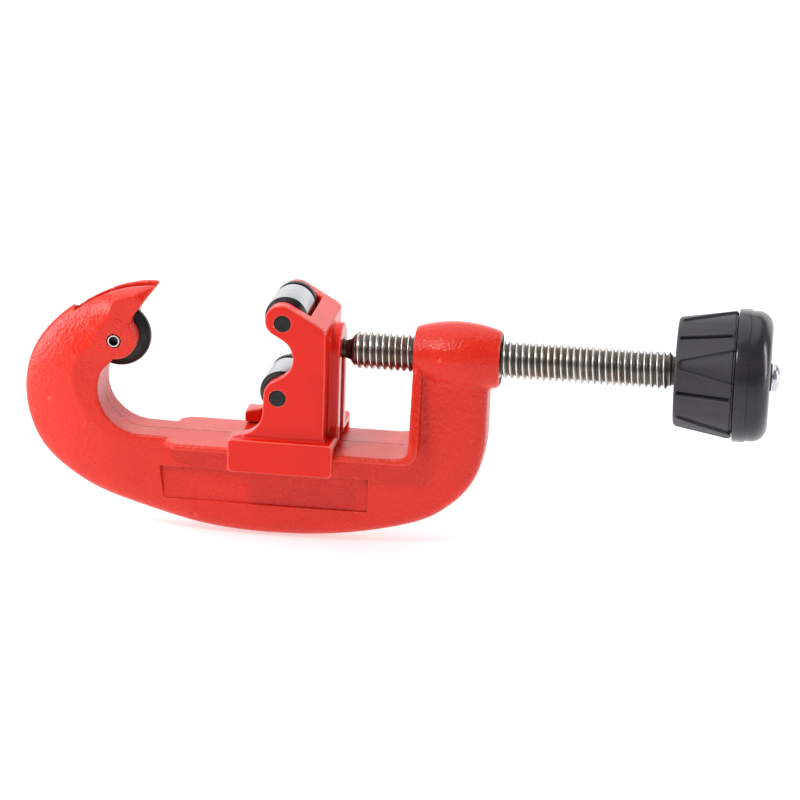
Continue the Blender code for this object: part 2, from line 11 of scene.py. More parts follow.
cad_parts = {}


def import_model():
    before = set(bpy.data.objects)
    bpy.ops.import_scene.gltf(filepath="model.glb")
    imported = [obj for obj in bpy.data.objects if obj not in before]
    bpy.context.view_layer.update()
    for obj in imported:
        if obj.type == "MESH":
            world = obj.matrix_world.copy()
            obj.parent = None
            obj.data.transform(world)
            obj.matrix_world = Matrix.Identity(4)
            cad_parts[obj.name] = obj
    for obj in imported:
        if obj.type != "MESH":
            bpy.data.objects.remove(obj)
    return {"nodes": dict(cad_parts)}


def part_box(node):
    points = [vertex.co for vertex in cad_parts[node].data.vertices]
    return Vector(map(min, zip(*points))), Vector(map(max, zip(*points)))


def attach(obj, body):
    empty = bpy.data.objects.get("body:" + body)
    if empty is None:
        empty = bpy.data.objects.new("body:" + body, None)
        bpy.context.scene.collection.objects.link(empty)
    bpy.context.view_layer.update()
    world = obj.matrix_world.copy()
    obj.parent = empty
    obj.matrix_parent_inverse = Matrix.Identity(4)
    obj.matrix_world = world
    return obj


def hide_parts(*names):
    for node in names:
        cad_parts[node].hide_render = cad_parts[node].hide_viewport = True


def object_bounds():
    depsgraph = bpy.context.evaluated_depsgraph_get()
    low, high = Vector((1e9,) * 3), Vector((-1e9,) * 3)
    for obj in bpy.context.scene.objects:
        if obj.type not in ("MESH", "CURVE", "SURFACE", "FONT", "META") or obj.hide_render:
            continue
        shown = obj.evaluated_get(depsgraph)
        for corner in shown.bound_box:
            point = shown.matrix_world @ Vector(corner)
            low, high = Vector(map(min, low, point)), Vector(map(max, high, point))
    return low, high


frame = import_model()
cad_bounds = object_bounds()

MM = 0.001


def middle(node):
    low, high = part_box(node)
    return (low + high) / 2.0


ORIGIN = middle("cutter_wheel")


def span(node):
    """Lowest and highest corner of a CAD node in tool-frame millimetres."""
    low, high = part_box(node)
    return (low - ORIGIN) / MM, (high - ORIGIN) / MM


# ---------- driving sizes: three of the CAD's own, the others read from its boxes ----------
RAIL_Z = -30.4  # top of the rail
BODY_HALF = 9.4  # half the width of the frame's body
THREAD_PITCH = 2.0
AXIS = (0.0, 0.0, 0.0)  # the wheel's centre, which is on the spindle's axis too
WHEEL_R = span("cutter_wheel")[1].x
ROLLERS = {level: (middle(level + "_roller") - ORIGIN) / MM for level in ("upper", "lower")}
ROLLER_R = span("upper_roller")[1].x - ROLLERS["upper"].x
ROLLER_HALF = span("upper_roller")[1].y
ROLLER_PIN_R = span("upper_roller_pin")[1].x - ROLLERS["upper"].x
SLIDE_LOW, SLIDE_HIGH = span("roller_slide")
SPINDLE_LOW, SPINDLE_HIGH = span("spindle")
THREAD_R = SPINDLE_HIGH.y
KNOB_LOW, KNOB_HIGH = span("knob_body")
CAP_LOW, CAP_HIGH = span("knob_cap")
SCREW_LOW, SCREW_HIGH = span("cap_screw")
RAIL_HALF = span("frame")[1].y
FLOOR_GAP_MM = 0.4  # keeps the floor clear of the frame's lowest point


# =============================== mesh tools ===============================
def world(p):
    return ORIGIN + Vector(p) * MM


def new_object(name, data):
    obj = bpy.data.objects.new(name, data)
    bpy.context.scene.collection.objects.link(obj)
    return obj


def add(name, verts, faces, sharp=None):
    """Mesh object from tool-frame vertices, normals made consistent; sharp is an angle."""
    mesh = bpy.data.meshes.new(name)
    mesh.from_pydata([world(v) for v in verts], [], faces)
    shell = bmesh.new()
    shell.from_mesh(mesh)
    bmesh.ops.remove_doubles(shell, verts=shell.verts, dist=1e-7)
    bmesh.ops.recalc_face_normals(shell, faces=shell.faces)
    shell.to_mesh(mesh)
    shell.free()
    obj = new_object(name, mesh)
    if sharp is not None:
        shade(obj, sharp)
    return obj


def shade(obj, angle):
    obj.data.shade_smooth()
    obj.data.set_sharp_from_angle(angle=math.radians(angle))


def freeze(obj):
    """Replaces the object's mesh by what its modifiers make of it."""
    graph = bpy.context.evaluated_depsgraph_get()
    done = bpy.data.meshes.new_from_object(obj.evaluated_get(graph))
    obj.modifiers.clear()
    obj.data = done


def combine(obj, other, operation="DIFFERENCE"):
    """Exact boolean with another object, which is used up."""
    mod = obj.modifiers.new("combine", "BOOLEAN")
    mod.object = other
    mod.operation = operation
    mod.solver = "EXACT"
    freeze(obj)
    bpy.data.objects.remove(other, do_unlink=True)


def soften(obj, voxel, rounds, node):
    """Rounds all edges as on a casting: voxel remesh, smoothing, kept in the node's box."""
    remesh = obj.modifiers.new("remesh", "REMESH")
    remesh.mode = "VOXEL"
    remesh.voxel_size = voxel * MM
    remesh.use_smooth_shade = True
    smooth = obj.modifiers.new("smooth", "SMOOTH")
    smooth.factor = 0.5
    smooth.iterations = rounds
    freeze(obj)
    low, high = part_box(node)
    for v in obj.data.vertices:
        v.co = [min(max(c, a), b) for c, a, b in zip(v.co, low, high)]
    obj.data.shade_smooth()


def bridge(rows, closed=False):
    """Quads between rows of equal length, each row a loop."""
    faces = []
    size = len(rows[0])
    pairs = list(zip(rows, rows[1:]))
    if closed:
        pairs.append((rows[-1], rows[0]))
    for first, second in pairs:
        for k in range(size):
            n = (k + 1) % size
            faces.append((first[k], first[n], second[n], second[k]))
    return faces


def lathe(name, profile, axis, centre=AXIS, sides=96, sharp=32):
    """Turned piece. A profile starting and ending at radius 0 is solid, any other a ring."""
    solid = profile[0][1] == 0.0 and profile[-1][1] == 0.0
    verts, rows = [], []
    for along, radius in profile:
        row = []
        for k in range(sides):
            a = 2.0 * math.pi * k / sides
            c, s = radius * math.cos(a), radius * math.sin(a)
            offset = (along, c, s) if axis == "X" else (c, along, s)
            row.append(len(verts))
            verts.append(tuple(p + q for p, q in zip(centre, offset)))
        rows.append(row)
    return add(name, verts, bridge(rows, closed=not solid), sharp)


def rounded(profile, radius, steps=4):
    """Profile with every inner corner replaced by a small curve."""
    points = [Vector(p) for p in profile]
    result = [tuple(points[0])]
    for a, b, c in zip(points, points[1:], points[2:]):
        to_a, to_c = a - b, c - b
        reach = min(radius, 0.45 * to_a.length, 0.45 * to_c.length)
        start, end = b + to_a.normalized() * reach, b + to_c.normalized() * reach
        for k in range(steps + 1):
            t = k / steps
            q = start * (1 - t) ** 2 + b * 2 * t * (1 - t) + end * t * t
            result.append((q.x, max(q.y, 0.0)))
    result.append(tuple(points[-1]))
    return result


def prism(name, outline, low, high, along="Y"):
    """Straight prism. along=Y: outline in XZ; along=X: outline in YZ; along=Z: in XY."""
    count = len(outline)
    place = {"Y": lambda p, h: (p[0], h, p[1]), "X": lambda p, h: (h, p[0], p[1]),
             "Z": lambda p, h: (p[0], p[1], h)}[along]
    verts = [place(p, low) for p in outline] + [place(p, high) for p in outline]
    faces = [tuple(range(count)), tuple(range(2 * count - 1, count - 1, -1))]
    for k in range(count):
        n = (k + 1) % count
        faces.append((k, n, n + count, k + count))
    return add(name, verts, faces)


def arc(centre, radius, start, end, steps):
    """Points of an arc, angles in degrees from the first axis to the second."""
    points = []
    for k in range(steps + 1):
        a = math.radians(start + (end - start) * k / steps)
        points.append((centre[0] + radius * math.cos(a), centre[1] + radius * math.sin(a)))
    return points


def spline(points, samples):
    """Catmull-Rom curve through the points, `samples` intervals per span."""
    ends = [points[0]] + list(points) + [points[-1]]
    curve = []
    for k in range(1, len(ends) - 2):
        p0, p1, p2, p3 = (Vector(p) for p in ends[k - 1:k + 3])
        for j in range(samples):
            t = j / samples
            q = 0.5 * ((2 * p1) + (p2 - p0) * t + (2 * p0 - 5 * p1 + 4 * p2 - p3) * t * t
                       + (3 * p1 - p0 - 3 * p2 + p3) * t ** 3)
            curve.append((q.x, q.y))
    curve.append(tuple(points[-1]))
    return curve


def at_lengths(path, count):
    """count + 1 evenly spaced points along a polyline."""
    steps = [math.dist(a, b) for a, b in zip(path, path[1:])]
    total = sum(steps)
    found = []
    for j in range(count + 1):
        left = total * j / count
        k = 0
        while k < len(steps) - 1 and left > steps[k]:
            left -= steps[k]
            k += 1
        t = left / steps[k]
        found.append(tuple(a + (b - a) * t for a, b in zip(path[k], path[k + 1])))
    return found


def ramp01(value, low, high):
    """0 below low, 1 above high, smooth between."""
    t = min(1.0, max(0.0, (value - low) / (high - low)))
    return t * t * (3.0 - 2.0 * t)


# =============================== material tools ===============================
MIX_A, MIX_B, MIX_RESULT = 6, 7, 2  # the colour sockets of a Mix node


def toned(colour, factor):
    return tuple(min(1.0, c * factor) for c in colour)


class Nodes:
    """Short names for building one Principled material."""

    def __init__(self, name, colour, roughness, metallic, **constants):
        self.material = bpy.data.materials.new(name)
        self.material.use_nodes = True
        self.tree = self.material.node_tree
        self.shader = self.tree.nodes["Principled BSDF"]
        self.put(self.shader, "Base Color", colour)
        self.put(self.shader, "Roughness", roughness)
        self.put(self.shader, "Metallic", metallic)
        for socket, value in constants.items():
            self.put(self.shader, socket.replace("_", " "), value)
        self.coords = self.tree.nodes.new("ShaderNodeTexCoord").outputs["Object"]

    def put(self, node, socket, value):
        target = node.inputs[socket]
        if isinstance(value, bpy.types.NodeSocket):
            self.tree.links.new(value, target)
        elif isinstance(value, tuple) and target.type == "RGBA":
            target.default_value = (*value, 1.0)
        else:
            target.default_value = value

    def math(self, operation, a, b=0.0):
        node = self.tree.nodes.new("ShaderNodeMath")
        node.operation = operation
        self.put(node, 0, a)
        self.put(node, 1, b)
        return node.outputs[0]

    def line(self, value, gain, start):
        """start + gain * value"""
        return self.math("ADD", self.math("MULTIPLY", value, gain), start)

    def moved(self, centre):
        """Object coordinates measured from a tool-frame centre."""
        shift = self.tree.nodes.new("ShaderNodeVectorMath")
        shift.operation = "SUBTRACT"
        self.put(shift, 0, self.coords)
        self.put(shift, 1, tuple(world(centre)))
        return shift.outputs[0]

    def parts(self, vector):
        node = self.tree.nodes.new("ShaderNodeSeparateXYZ")
        self.put(node, 0, vector)
        return node.outputs

    def joined(self, x, y, z):
        node = self.tree.nodes.new("ShaderNodeCombineXYZ")
        for k, value in enumerate((x, y, z)):
            self.put(node, k, value)
        return node.outputs[0]

    def noise(self, size_mm, vector=None, detail=3.0, rough=0.5):
        node = self.tree.nodes.new("ShaderNodeTexNoise")
        self.put(node, "Vector", self.coords if vector is None else vector)
        self.put(node, "Scale", 1.0 / (size_mm * MM))
        self.put(node, "Detail", detail)
        self.put(node, "Roughness", rough)
        return node.outputs["Fac"]

    def cells(self, size_mm):
        node = self.tree.nodes.new("ShaderNodeTexVoronoi")
        node.feature = "SMOOTH_F1"
        self.put(node, "Vector", self.coords)
        self.put(node, "Scale", 1.0 / (size_mm * MM))
        self.put(node, "Smoothness", 0.6)
        return node.outputs["Distance"]

    def range(self, value, low, high):
        """0 below low, 1 above high, smooth between."""
        node = self.tree.nodes.new("ShaderNodeMapRange")
        node.interpolation_type = "SMOOTHSTEP"
        for socket, item in (("Value", value), ("From Min", low), ("From Max", high)):
            self.put(node, socket, item)
        return node.outputs[0]

    def mix(self, share, a, b):
        """Colour a where share is 0, b where it is 1."""
        node = self.tree.nodes.new("ShaderNodeMix")
        node.data_type = "RGBA"
        self.put(node, "Factor", share)
        self.put(node, MIX_A, a)
        self.put(node, MIX_B, b)
        return node.outputs[MIX_RESULT]

    def bump(self, height, depth_mm, strength, under=None):
        node = self.tree.nodes.new("ShaderNodeBump")
        self.put(node, "Height", height)
        self.put(node, "Distance", depth_mm * MM)
        self.put(node, "Strength", strength)
        if under is not None:
            self.put(node, "Normal", under)
        return node.outputs[0]

    def corner_shade(self, reach_mm):
        """1 on open surfaces, less in the piece's own corners; drives the painted shade there."""
        node = self.tree.nodes.new("ShaderNodeAmbientOcclusion")
        node.samples = 8
        node.only_local = True
        self.put(node, "Distance", reach_mm * MM)
        return node.outputs["AO"]

    def set(self, **values):
        for socket, value in values.items():
            self.put(self.shader, socket.replace("_", " "), value)
        return self.material


def paint(name, colour, pale, roughness, peel_mm, peel_depth, level, edge_wear_and_highlight, fleck, seam):
    """Red enamel over a casting: orange peel, slow waviness, thin paint and a painted highlight on
    convex edges, painted shade in corners.

    pale shows on convex edges (worn paint and a painted highlight) and on grains (fleck); level is
    the specular level.
    """
    n = Nodes(name, colour, roughness, 0.0, Specular_IOR_Level=level)
    slow = n.noise(14.0, detail=2.0)
    grain = n.noise(peel_mm, detail=2.0, rough=0.5)
    pits = n.cells(peel_mm * 2.2)
    face = n.tree.nodes.new("ShaderNodeNewGeometry")
    rim = n.range(face.outputs["Pointiness"], 0.515, 0.57)
    tone = n.mix(n.range(slow, 0.35, 0.7), colour, toned(colour, 0.93))
    # convex edges paler: partly worn thin paint, partly a painted highlight
    tone = n.mix(n.math("MULTIPLY", rim, edge_wear_and_highlight), tone, pale)
    tone = n.mix(n.math("MULTIPLY", n.range(grain, 0.5, 0.72), fleck), tone, pale)
    # painted shade: corners, creases and the sunk panel's walls are darkened
    tone = n.mix(n.range(n.corner_shade(3.0), 0.28, 0.88), toned(colour, 0.52), tone)
    shine = n.line(n.noise(6.0, detail=4.0), 0.14, roughness - 0.07)
    waves = n.bump(slow, 0.05, 0.5)
    # the paint flows out smooth on level faces
    level_face = n.range(n.parts(face.outputs["Normal"])[2], 0.80, 0.97)
    share = n.math("SUBTRACT", 1.0, n.math("MULTIPLY", level_face, 0.8))
    peel = n.bump(grain, peel_depth, share, waves)
    normal = n.bump(pits, peel_depth * 0.45, share, peel)
    if seam:
        # the mould's parting line, which ends below the wheel
        place = n.parts(n.moved(AXIS))
        line = n.range(n.math("ABSOLUTE", place[1]), 0.12 * MM, 0.42 * MM)
        line = n.math("MAXIMUM", line, n.range(place[2], -10.0 * MM, -8.0 * MM))
        normal = n.bump(line, 0.20, 1.0, normal)
        tone = n.mix(n.math("MULTIPLY", n.math("SUBTRACT", 1.0, line), 0.5), tone,
                     toned(colour, 0.35))
    return n.set(Base_Color=tone, Roughness=shine, Normal=normal)


def radius_from(n, centre, axis):
    """Distance from an axis through a tool-frame centre, in metres."""
    x, y, z = n.parts(n.moved(centre))[:3]
    a, b = (y, z) if axis == "X" else (x, z)
    return n.math("SQRT", n.math("ADD", n.math("MULTIPLY", a, a), n.math("MULTIPLY", b, b)))


def turned_metal(name, colour, roughness, centre, axis, line_mm=0.16, depth=0.012):
    """Ground or turned metal: fine rings round the axis, faint stains."""
    n = Nodes(name, colour, roughness, 1.0, Specular_IOR_Level=0.5)
    reach = radius_from(n, centre, axis)
    along = n.parts(n.moved(centre))[0 if axis == "X" else 1]
    rings = n.noise(line_mm, n.joined(along, reach, 0.0), detail=2.0)
    stain = n.noise(3.5, detail=4.0)
    tone = n.mix(n.math("MULTIPLY", n.range(stain, 0.45, 0.75), 0.5), colour, toned(colour, 0.7))
    tone = n.mix(n.math("MULTIPLY", n.range(rings, 0.35, 0.7), 0.18), tone, toned(colour, 1.5))
    shine = n.line(rings, 0.16, roughness - 0.06)
    return n.set(Base_Color=tone, Roughness=shine, Normal=n.bump(rings, depth, 0.7))


def black_oxide(name, centre, axis, rim_r=None):
    """Blackened steel with turning marks; a cutting rim shows bare metal at its edge."""
    colour = (0.024, 0.023, 0.025)
    n = Nodes(name, colour, 0.42, 0.85)
    reach = radius_from(n, centre, axis)
    along = n.parts(n.moved(centre))[0 if axis == "X" else 1]
    rings = n.noise(0.22, n.joined(along, reach, 0.0), detail=3.0)
    cloud = n.noise(2.2, detail=4.0)
    tone = n.mix(n.range(cloud, 0.4, 0.75), colour, (0.040, 0.037, 0.037))
    if rim_r is not None:
        bare = n.range(reach, (rim_r - 0.5) * MM, (rim_r - 0.12) * MM)
        tone = n.mix(bare, tone, (0.30, 0.29, 0.29))
    shine = n.line(cloud, 0.22, 0.30)
    return n.set(Base_Color=tone, Roughness=shine, Normal=n.bump(rings, 0.02, 0.6))


def thread_steel(name):
    """Rolled thread: bright crests, brown oil in the roots, streaks round the shaft."""
    n = Nodes(name, (0.3, 0.28, 0.25), 0.3, 1.0)
    reach = radius_from(n, AXIS, "X")
    x, y, z = n.parts(n.moved(AXIS))[:3]
    streak = n.noise(0.25, n.joined(x, n.math("MULTIPLY", y, 0.25), n.math("MULTIPLY", z, 0.25)),
                     detail=3.0)
    blotch = n.noise(5.0, detail=4.0, rough=0.6)
    oil = n.noise(16.0, n.joined(x, n.math("MULTIPLY", y, 0.4), n.math("MULTIPLY", z, 0.4)))
    crest = n.range(reach, (THREAD_R - 0.12) * MM, (THREAD_R - 0.02) * MM)
    flank = n.mix(n.range(blotch, 0.38, 0.68), (0.27, 0.245, 0.215), (0.50, 0.47, 0.44))
    flank = n.mix(n.math("MULTIPLY", n.range(oil, 0.50, 0.62), 0.75), flank, (0.30, 0.22, 0.13))
    root = n.range(reach, (THREAD_R - 1.25) * MM, (THREAD_R - 0.80) * MM)
    tone = n.mix(root, (0.16, 0.14, 0.12), flank)
    tone = n.mix(n.math("MULTIPLY", n.range(streak, 0.45, 0.75), 0.35), tone, (0.14, 0.12, 0.10))
    tone = n.mix(crest, tone, (0.74, 0.73, 0.72))
    shine = n.line(streak, 0.22, 0.22)
    return n.set(Base_Color=tone, Roughness=shine, Normal=n.bump(streak, 0.02, 0.8))


def plastic(name, colour, roughness, grain_mm, grain_depth, coat, level):
    """Moulded black plastic: fine spark-eroded grain, glossier edges lightened as wear and painted
    sheen, faint dust.
    """
    n = Nodes(name, colour, roughness, 0.0, Coat_Weight=coat, Coat_Roughness=0.12,
              Specular_IOR_Level=level)
    grain = n.noise(grain_mm, detail=3.0, rough=0.6)
    cloud = n.noise(7.0, detail=4.0)
    edge = n.tree.nodes.new("ShaderNodeNewGeometry").outputs["Pointiness"]
    rub_and_sheen = n.range(edge, 0.52, 0.60)
    tone = n.mix(n.range(cloud, 0.4, 0.75), colour, toned(colour, 1.35))
    # edges lighter: partly rubbed plastic, partly a painted sheen
    tone = n.mix(n.math("MULTIPLY", rub_and_sheen, 0.5), tone, (0.085, 0.083, 0.088))
    shine = n.line(cloud, 0.20, roughness - 0.10)
    shine = n.math("SUBTRACT", shine, n.math("MULTIPLY", rub_and_sheen, 0.12))
    return n.set(Base_Color=tone, Roughness=shine, Normal=n.bump(grain, grain_depth, 0.8))


# =============================== the frame casting ===============================
def frame_stations():
    """Point on the throat side, point on the back and section shape, round the C."""
    throat_c, throat_r = (9.0, -16.2), 14.2
    nose_c, nose_r = (0.3, 0.6), 6.8
    post_in, post_out, corner = 95.3, 118.9, 3.0
    back = spline([(11.6, 17.6), (5.4, 16.9), (-2.4, 14.8), (-13.7, 9.6), (-24.3, -0.5),
                   (-29.8, -12.3), (-29.7, -26.6), (-23.4, -39.7), (-9.1, -50.2), (9.4, -56.3),
                   (32.0, -61.1), (54.0, -62.2), (76.0, -60.3), (97.3, -55.0), (108.0, -48.5),
                   (115.2, -39.8), (118.5, -29.0), (post_out, -18.0), (post_out, -2.0)], 40)
    n = len(back) - 1
    # path, intervals, share of the back curve, crease distance, taper, squareness, width
    pieces = [
        ([(12.2, 16.7), (5.9, 8.3)], 14, (0.0, 0.115), (0.5, 8.0), (0.30, 0.44), (2.2, 2.4),
         (1.0, 1.0)),
        (arc(nose_c, nose_r, 48, -26, 30), 14, (0.115, 0.175), (8.0, 13.0), (0.44, 0.54),
         (2.4, 2.4), (1.0, 1.0)),
        (arc(nose_c, nose_r, -26, -100, 30), 14, (0.175, 0.240), (13.0, 10.6), (0.54, 0.56),
         (2.4, 2.4), (1.0, 1.0)),
        ([(-0.8, -6.9)] + arc(throat_c, throat_r, 155, 200, 24), 18, (0.240, 0.345), (10.6, 5.8),
         (0.56, 0.52), (2.4, 2.4), (1.0, 1.0)),
        (arc(throat_c, throat_r, 200, 270, 40), 28, (0.345, 0.545), (5.8, 1.8), (0.52, 0.06),
         (2.4, 3.6), (1.0, 1.0)),
        ([(throat_c[0], RAIL_Z), (post_in - corner, RAIL_Z)], 26, (0.545, 0.760), (1.8, 2.0),
         (0.06, 0.06), (3.6, 3.6), (1.0, 1.0)),
        (arc((post_in - corner, RAIL_Z + corner), corner, 270, 360, 12), 14, (0.760, 0.900),
         (2.0, 2.0), (0.06, 0.04), (3.6, 5.0), (1.0, 0.98)),
        ([(post_in, RAIL_Z + corner), (post_in, 2.0)], 8, (0.900, 1.0), (2.0, 2.0),
         (0.04, 0.04), (5.0, 6.0), (0.98, 0.84)),
    ]
    stations = []
    for path, count, share, *shape in pieces:
        inner = at_lengths(path, count)
        outer = at_lengths(back[round(share[0] * n):round(share[1] * n) + 1], count)
        for k, (p, q) in enumerate(zip(inner, outer)):
            # a stretch starts where the one before it ended
            if not stations or math.dist(stations[-1][0], p) > 0.05:
                values = [first + (last - first) * k / count for first, last in shape]
                stations.append((p, q, *values))
    return stations


def section(inner, outer, crease, taper, power, width):
    """Ring across the C: nearly flat rim to the crease, then a convex outer part."""
    rim_fall, steps, crowding = 0.05, 13, 1.7
    p, q = Vector((inner[0], 0.0, inner[1])), Vector((outer[0], 0.0, outer[1]))
    depth = (q - p).length
    crease = min(crease, 0.75 * depth)
    half = width * BODY_HALF * min(1.0, 0.35 + depth / 9.0)
    side = [(0.0, half - rim_fall * crease), (crease, half)]
    for k in range(1, steps):
        s = 1.0 - (1.0 - k / steps) ** crowding
        w = half * (1.0 - taper * s) * (1.0 - s ** power) ** (1.0 / power)
        side.append((crease + (depth - crease) * s, w))
    ring = [(0.0, 0.0)] + [(u, -w) for u, w in side] + [(depth, 0.0)]
    ring += [(u, w) for u, w in reversed(side)]
    along = (q - p).normalized()
    return [tuple(p + along * u + Vector((0.0, w, 0.0))) for u, w in ring]


def rail_flange():
    """Flange of the rail, turned up along the post and narrowed towards the boss."""
    start, lead, thick, top = 17.5, 3.0, 2.3, 5.0
    post_in, post_out, inner_r, outer_r = 95.3, 98.3, 3.0, 5.0
    under = RAIL_Z - thick
    outline = [(start, RAIL_Z)] + arc((post_in - inner_r, RAIL_Z + inner_r), inner_r, 270, 360, 16)
    outline += [(post_in, top), (post_out, top)]
    outline += arc((post_out - outer_r, under + outer_r), outer_r, 0, -90, 16) + [(start, under)]
    rail = prism("rail", outline, -RAIL_HALF, RAIL_HALF)
    for sign in (-1, 1):
        edge = sign * RAIL_HALF
        combine(rail, prism("lead", [(start - 1.0, edge - sign * (lead + 1.0)),
                                     (start + lead + 1.0, edge + sign), (start - 1.0, edge + sign)],
                            under - 1.0, RAIL_Z + 1.0, along="Z"))
        combine(rail, prism("taper", [(edge, RAIL_Z + 4.0), (sign * 10.4, -4.0), (sign * 6.0, 6.0),
                                      (sign * 20.0, 6.0), (sign * 20.0, RAIL_Z + 4.0)],
                            post_in - 1.0, post_out + 1.0, along="X"))
    return rail


def boss():
    """Barrel that the spindle runs through, thickest in its middle."""
    left, right, mid_r, end_r, steps = 95.0, 122.1, 11.05, 8.7, 32
    bulge = []
    for k in range(steps + 1):
        t = k / steps
        bulge.append((left + (right - left) * t, end_r + (mid_r - end_r) * (1 - (2 * t - 1) ** 2)))
    return lathe("boss", [(left, 0.0)] + bulge + [(right, 0.0)], "X")


def roof_rail(body):
    """Lets the rail's top fall a little from the parting line to both edges."""
    fall, start, end = 0.35, 9.0, 92.0
    for v in body.data.vertices:
        x, y, z = (v.co - ORIGIN) / MM
        share = ramp01(x, start, start + 8.0) * ramp01(end - x, 0.0, 3.0)
        share *= ramp01(z, RAIL_Z - 1.5, RAIL_Z - 0.3)
        if share > 0.0 and z < RAIL_Z + 0.5:
            v.co.z -= fall * share * abs(y) / RAIL_HALF * MM


def panel_cutter(sign):
    """What is cut out of one side for its sunk panel: a slanted left end and drafted walls."""
    x0, x1, z0, z1 = 14.4, 81.9, -51.0, -40.0
    floor, outside, slant = 7.6, 15.0, 1.3
    draft_x, draft_z = 1.6, 2.6
    panel = prism("panel", [(x0 + 0.8 + slant, z0), (x1, z0), (x1, z1), (x0 + slant, z1)],
                  floor, outside)
    for v in panel.data.vertices:
        local = (v.co - ORIGIN) / MM
        if local.y > (floor + outside) / 2.0:
            local.x += -2.0 * slant if local.x < x0 + 3.0 else draft_x
            local.z -= draft_z if local.z < z0 + 1.0 else 0.0
        local.y *= sign
        v.co = world(local)
    if sign < 0:
        panel.data.flip_normals()
    return panel


def frame_casting():
    rings = [section(*station) for station in frame_stations()]
    size = len(rings[0])
    verts = [v for ring in rings for v in ring]
    rows = [list(range(k * size, (k + 1) * size)) for k in range(len(rings))]
    faces = bridge(rows) + [tuple(rows[0]), tuple(reversed(rows[-1]))]
    body = add("frame_casting", verts, faces)
    combine(body, rail_flange(), "UNION")
    combine(body, boss(), "UNION")

    slot_half, slot_r = 2.8, 11.7
    slot = prism("slot", arc((0.0, 0.0), slot_r, 180, 305, 40)
                 + [(40.0, -6.0), (40.0, 30.0), (-17.0, 30.0), (-14.4, 8.0)],
                 -slot_half, slot_half)
    combine(body, slot)
    soften(body, 0.51, 5, "frame")
    roof_rail(body)
    for sign in (-1, 1):
        combine(body, panel_cutter(sign))

    pin_r, shaft_r, nut_seat_r, reach = 2.35, 6.5, 15.2 / 2 + 0.3, 27.0
    combine(body, lathe("bore", [(-reach, 0.0), (-reach, pin_r), (reach, pin_r), (reach, 0.0)],
                        "Y", sides=48))
    combine(body, lathe("way", [(80.0, 0.0), (80.0, shaft_r), (110.0, shaft_r),
                                (110.0, nut_seat_r), (130.0, nut_seat_r), (130.0, 0.0)], "X"))
    shade(body, 50)
    return body


# =============================== the roller slide ===============================
def slide_casting():
    """Two cheeks for the rollers, an arched housing for the spindle's head, a base block."""
    lobe_x, lobe_z, lobe_r, out, inner = 54.5, 12.15, 5.1, 16.8, 11.3
    right, base_left, base_right = 68.7, SLIDE_LOW.x, SLIDE_HIGH.x
    bottom, block_top, skirt_low = RAIL_Z + 0.3, -26.4, SLIDE_LOW.z
    slope = math.radians(61.0)
    cheek = arc((lobe_x, lobe_z), lobe_r, 61, 232, 36)
    cheek += arc((51.4, 0.0), 7.1, 60, -60, 30)
    cheek += arc((lobe_x, -lobe_z), lobe_r, 128, 185, 12)
    cheek += arc((40.9, -17.4), 8.4, -8, -84, 16)
    top_z = lobe_z + (lobe_r - (right - lobe_x) * math.cos(slope)) / math.sin(slope)
    cheek += [(base_left + 0.8, block_top), (base_left + 0.8, bottom + 2.5),
              (base_left + 3.3, bottom), (right, bottom), (right, top_z - 0.9),
              (right - 0.9, top_z + 0.3)]
    slide = prism("slide_casting", cheek, -out, out)

    def upright(name, half, low, high, foot=-40.0):
        outline = [(-half, foot)] + arc((0.0, 0.0), half, 180, 0, 32) + [(half, foot)]
        return prism(name, outline, low, high, along="X")

    combine(slide, upright("housing", 8.4, right - 2.0, base_right, bottom), "UNION")
    corner = 1.3
    block = prism("block", arc((base_left + corner, skirt_low + corner), corner, 180, 270, 8)
                  + arc((base_right - corner, skirt_low + corner), corner, 270, 360, 8)
                  + arc((base_right - corner, block_top - corner), corner, 0, 90, 8)
                  + [(base_left, block_top)], -SLIDE_HIGH.y, SLIDE_HIGH.y)
    combine(slide, block, "UNION")
    combine(slide, prism("window", [(30.0, -50.0), (63.0, -50.0), (63.0, 30.0), (30.0, 30.0)],
                         -inner, inner))
    under, skirt_in = RAIL_Z - 2.6, 16.1
    x0, x1 = base_left - 9.0, base_right + 9.0
    combine(slide, prism("way", [(x0, under), (x0, bottom), (base_right - 3.0, bottom),
                                 (base_right, bottom + 1.3), (x1, bottom + 1.3), (x1, under)],
                         -skirt_in, skirt_in))
    combine(slide, prism("lips", [(-skirt_in, -50.0), (-skirt_in, RAIL_Z - 1.0),
                                  (skirt_in, RAIL_Z - 1.0), (skirt_in, -50.0)],
                         base_left + 12.0, x1, along="X"))
    combine(slide, upright("neck_slot", 3.25, 69.6, 81.0))
    combine(slide, upright("head_slot", 5.7, 64.5, 70.0))
    soften(slide, 0.335, 10, "roller_slide")
    for centre in ROLLERS.values():
        reach = ROLLER_PIN_R + 0.06
        combine(slide, lathe("bore", [(-30.0, 0.0), (-30.0, reach), (30.0, reach), (30.0, 0.0)],
                             "Y", tuple(centre)))
    slide.data.set_sharp_from_angle(angle=math.radians(50))
    return slide


# =============================== turned pieces ===============================
def cutter_wheel():
    """Hub, web and a double bevel to the edge; both sides are the same."""
    side = [(2.3, 2.35), (2.3, 4.2), (2.1, 4.45), (1.75, 4.7), (1.7, 7.2), (1.62, 7.5),
            (0.30, 10.15), (0.05, WHEEL_R)]
    profile = side + [(-a, r) for a, r in reversed(side)]
    return lathe("cutting_disc", profile, "Y", AXIS, 192, 25)


